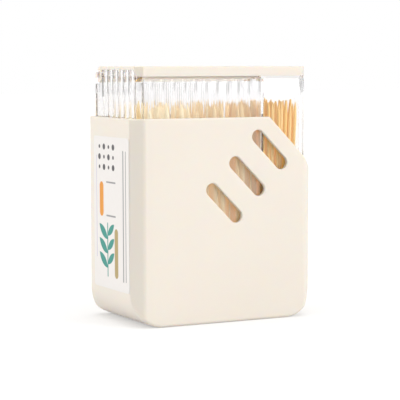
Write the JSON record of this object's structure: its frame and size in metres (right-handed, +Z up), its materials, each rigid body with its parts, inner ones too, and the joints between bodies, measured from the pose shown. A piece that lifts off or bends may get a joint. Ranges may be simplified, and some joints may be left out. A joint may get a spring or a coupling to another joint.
{
  "type": "toothpick dispenser",
  "caption": "Opaque sleeve with a cut corner and slanted viewing slots round a clear reeded lift-out box with two compartments of toothpicks and a rear-hinged flip lid.",
  "frame": {"origin": "middle of the flat base of the sleeve", "axes": "+Z up, -Y towards the slotted front, +X towards the cut corner"},
  "size_m": [0.064, 0.036, 0.08],
  "materials": {
    "cream_plastic": "satin moulded cream plastic",
    "clear_plastic": "clear moulded plastic",
    "label_paper": "coated white paper label",
    "bamboo": "bare bamboo"
  },
  "bodies": {
    "sleeve": {"outer_sleeve": "cream_plastic", "side_label": "label_paper"},
    "box": {"clear_box": "clear_plastic", "toothpicks_main": "bamboo", "toothpicks_side": "bamboo"},
    "lid": {"lid": "cream_plastic"}
  },
  "joints": [
    {"name": "box_lift", "type": "slide", "parent": "sleeve", "child": "box", "axis": [0, 0, 1], "range_m": [0, 0.068]},
    {"name": "lid_hinge", "type": "hinge", "parent": "box", "child": "lid", "pos_m": [0, 0.01375, 0.0774], "axis": [-1, 0, 0], "range_deg": [0, 115]}
  ]
}
